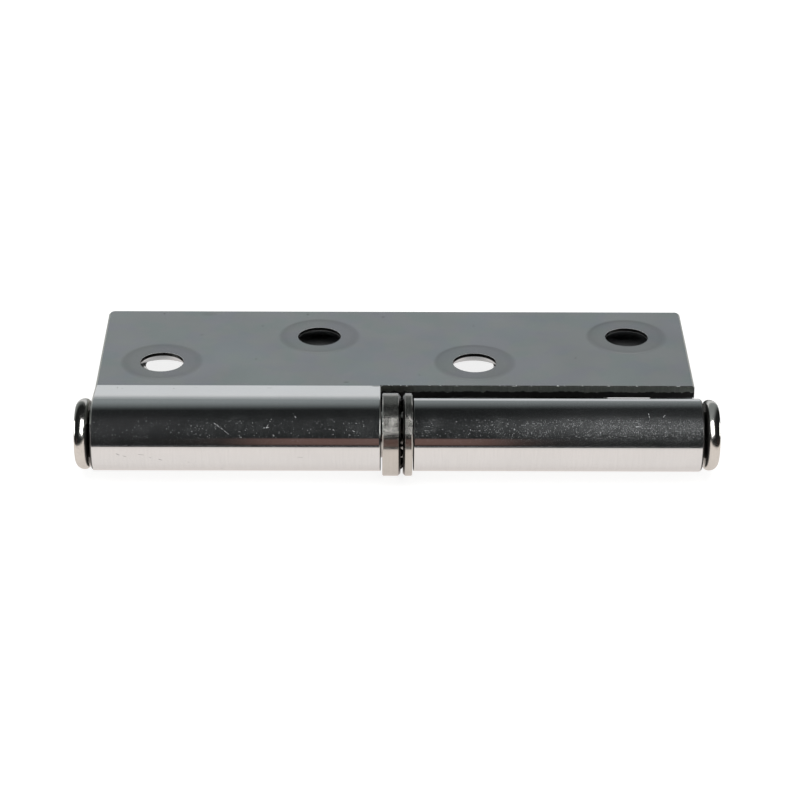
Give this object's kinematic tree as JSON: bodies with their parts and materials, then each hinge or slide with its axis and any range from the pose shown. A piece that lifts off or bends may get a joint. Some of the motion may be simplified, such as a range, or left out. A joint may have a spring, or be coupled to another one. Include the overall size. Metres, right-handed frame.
{
  "type": "lift-off hinge",
  "caption": "Steel lift-off butt hinge: two folded leaves with rolled knuckles, a fixed pin, a ball thrust bearing between the knuckles and button end caps.",
  "frame": {"origin": "on the socket leaf's back face, midway between its two rows of screw holes and at the middle of the pin leaf's length", "axes": "+X along the pin, from the pin leaf's knuckle to the socket leaf's knuckle, +Y from the pin across the leaves, +Z out of the socket leaf's inner face towards the pin leaf"},
  "size_m": [0.1062, 0.0446, 0.0137],
  "materials": {
    "leaf_plating": "bright plated, lightly scratched and dusty",
    "cap_plating": "polished bright plating",
    "turned_steel": "turned, with fine circular marks",
    "pin_steel": "ground",
    "ball_steel": "polished",
    "cage_brass": "pressed, plain"
  },
  "bodies": {
    "pin_leaf": {"pin_leaf": "leaf_plating", "hinge_pin": "pin_steel", "pin_leaf_cap": "cap_plating", "bearing_cup": "turned_steel"},
    "cage": {"ball_cage": "cage_brass", "bearing_ball_01": "ball_steel", "bearing_ball_02": "ball_steel", "bearing_ball_03": "ball_steel", "bearing_ball_04": "ball_steel", "bearing_ball_05": "ball_steel", "bearing_ball_06": "ball_steel", "bearing_ball_07": "ball_steel", "bearing_ball_08": "ball_steel", "bearing_ball_09": "ball_steel", "bearing_ball_10": "ball_steel", "bearing_ball_11": "ball_steel", "bearing_ball_12": "ball_steel"},
    "washer": {"bearing_washer": "turned_steel"},
    "socket_leaf": {"socket_leaf": "leaf_plating", "socket_leaf_cap": "cap_plating"}
  },
  "joints": [
    {"name": "swing", "type": "hinge", "parent": "pin_leaf", "child": "washer", "pos_m": [0, -0.0221, 0.005], "axis": [-1, 0, 0], "range_deg": [0, 302]},
    {"name": "cage_roll", "type": "hinge", "parent": "pin_leaf", "child": "cage", "pos_m": [0, -0.0221, 0.005], "axis": [-1, 0, 0], "range_deg": [0, 151]},
    {"name": "lift_off", "type": "slide", "parent": "washer", "child": "socket_leaf", "axis": [1, 0, 0], "range_m": [0, 0.048]}
  ],
  "couplings": [
    {"joint": "cage_roll", "follows": "swing", "ratio": 0.5}
  ]
}
